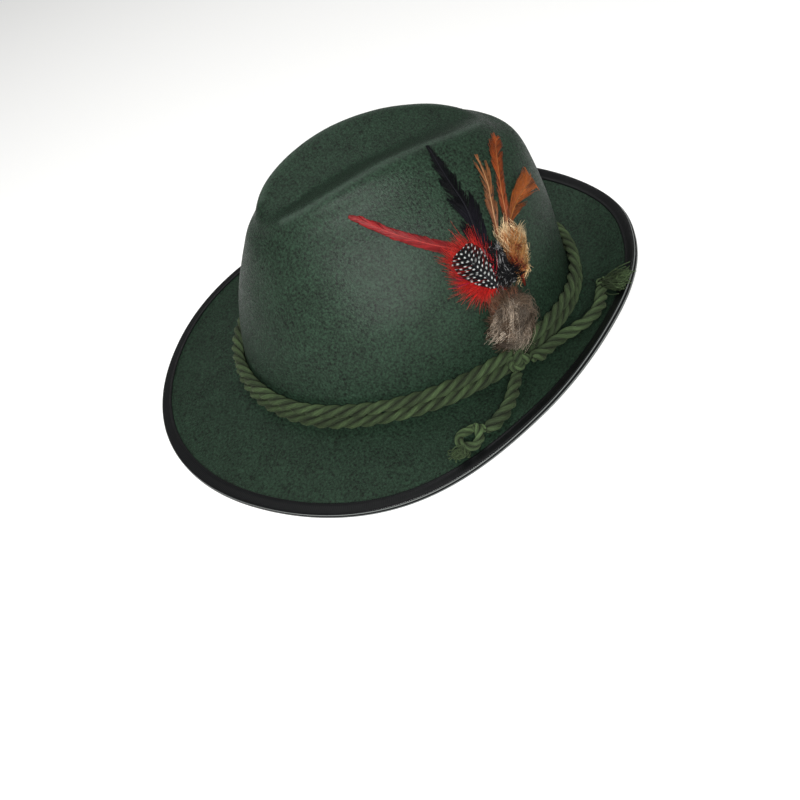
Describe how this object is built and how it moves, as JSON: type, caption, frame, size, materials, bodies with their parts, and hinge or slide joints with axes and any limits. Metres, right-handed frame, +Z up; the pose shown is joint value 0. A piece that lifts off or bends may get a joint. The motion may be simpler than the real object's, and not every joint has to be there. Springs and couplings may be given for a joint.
{
  "type": "tyrolean hat",
  "caption": "Dark green felt hat with a creased crown, bound brim, twisted cord bands with knotted loose ends, and feathers over a fur tuft on one side.",
  "frame": {"origin": "on the surface the hat rests on, under the middle of its bounding box", "axes": "+Z up from the surface, -Y towards the front of the hat, +X towards the wearer's left"},
  "size_m": [0.2726, 0.3088, 0.1231],
  "materials": {
    "felt": "pressed felt, matt",
    "tape": "folded tape, satin",
    "cord": "twisted cord, matt",
    "fur": "fur, matt",
    "feather_red": "dyed feather",
    "feather_black": "feather, slight sheen",
    "feather_orange": "dyed feather",
    "feather_golden": "feather",
    "feather_spotted": "feather, spotted",
    "hackle_red": "dyed hackle",
    "fluff_black": "fluff",
    "fluff_gold": "fluff"
  },
  "bodies": {
    "root": {"felt_body": "felt", "brim_binding": "tape", "cord_band_lower": "cord", "cord_band_upper": "cord", "cord_knot": "cord", "cord_tail_front": "cord", "cord_tail_rear": "cord", "tail_knot_front": "cord", "tail_knot_rear": "cord", "fur_tuft": "fur", "feather_red": "feather_red", "feather_black": "feather_black", "feather_orange_broad": "feather_orange", "feather_orange_tall": "feather_orange", "feather_golden": "feather_golden", "feather_guinea": "feather_spotted", "hackle_red": "hackle_red", "fluff_black": "fluff_black", "fluff_gold": "fluff_gold"}
  },
  "joints": []
}
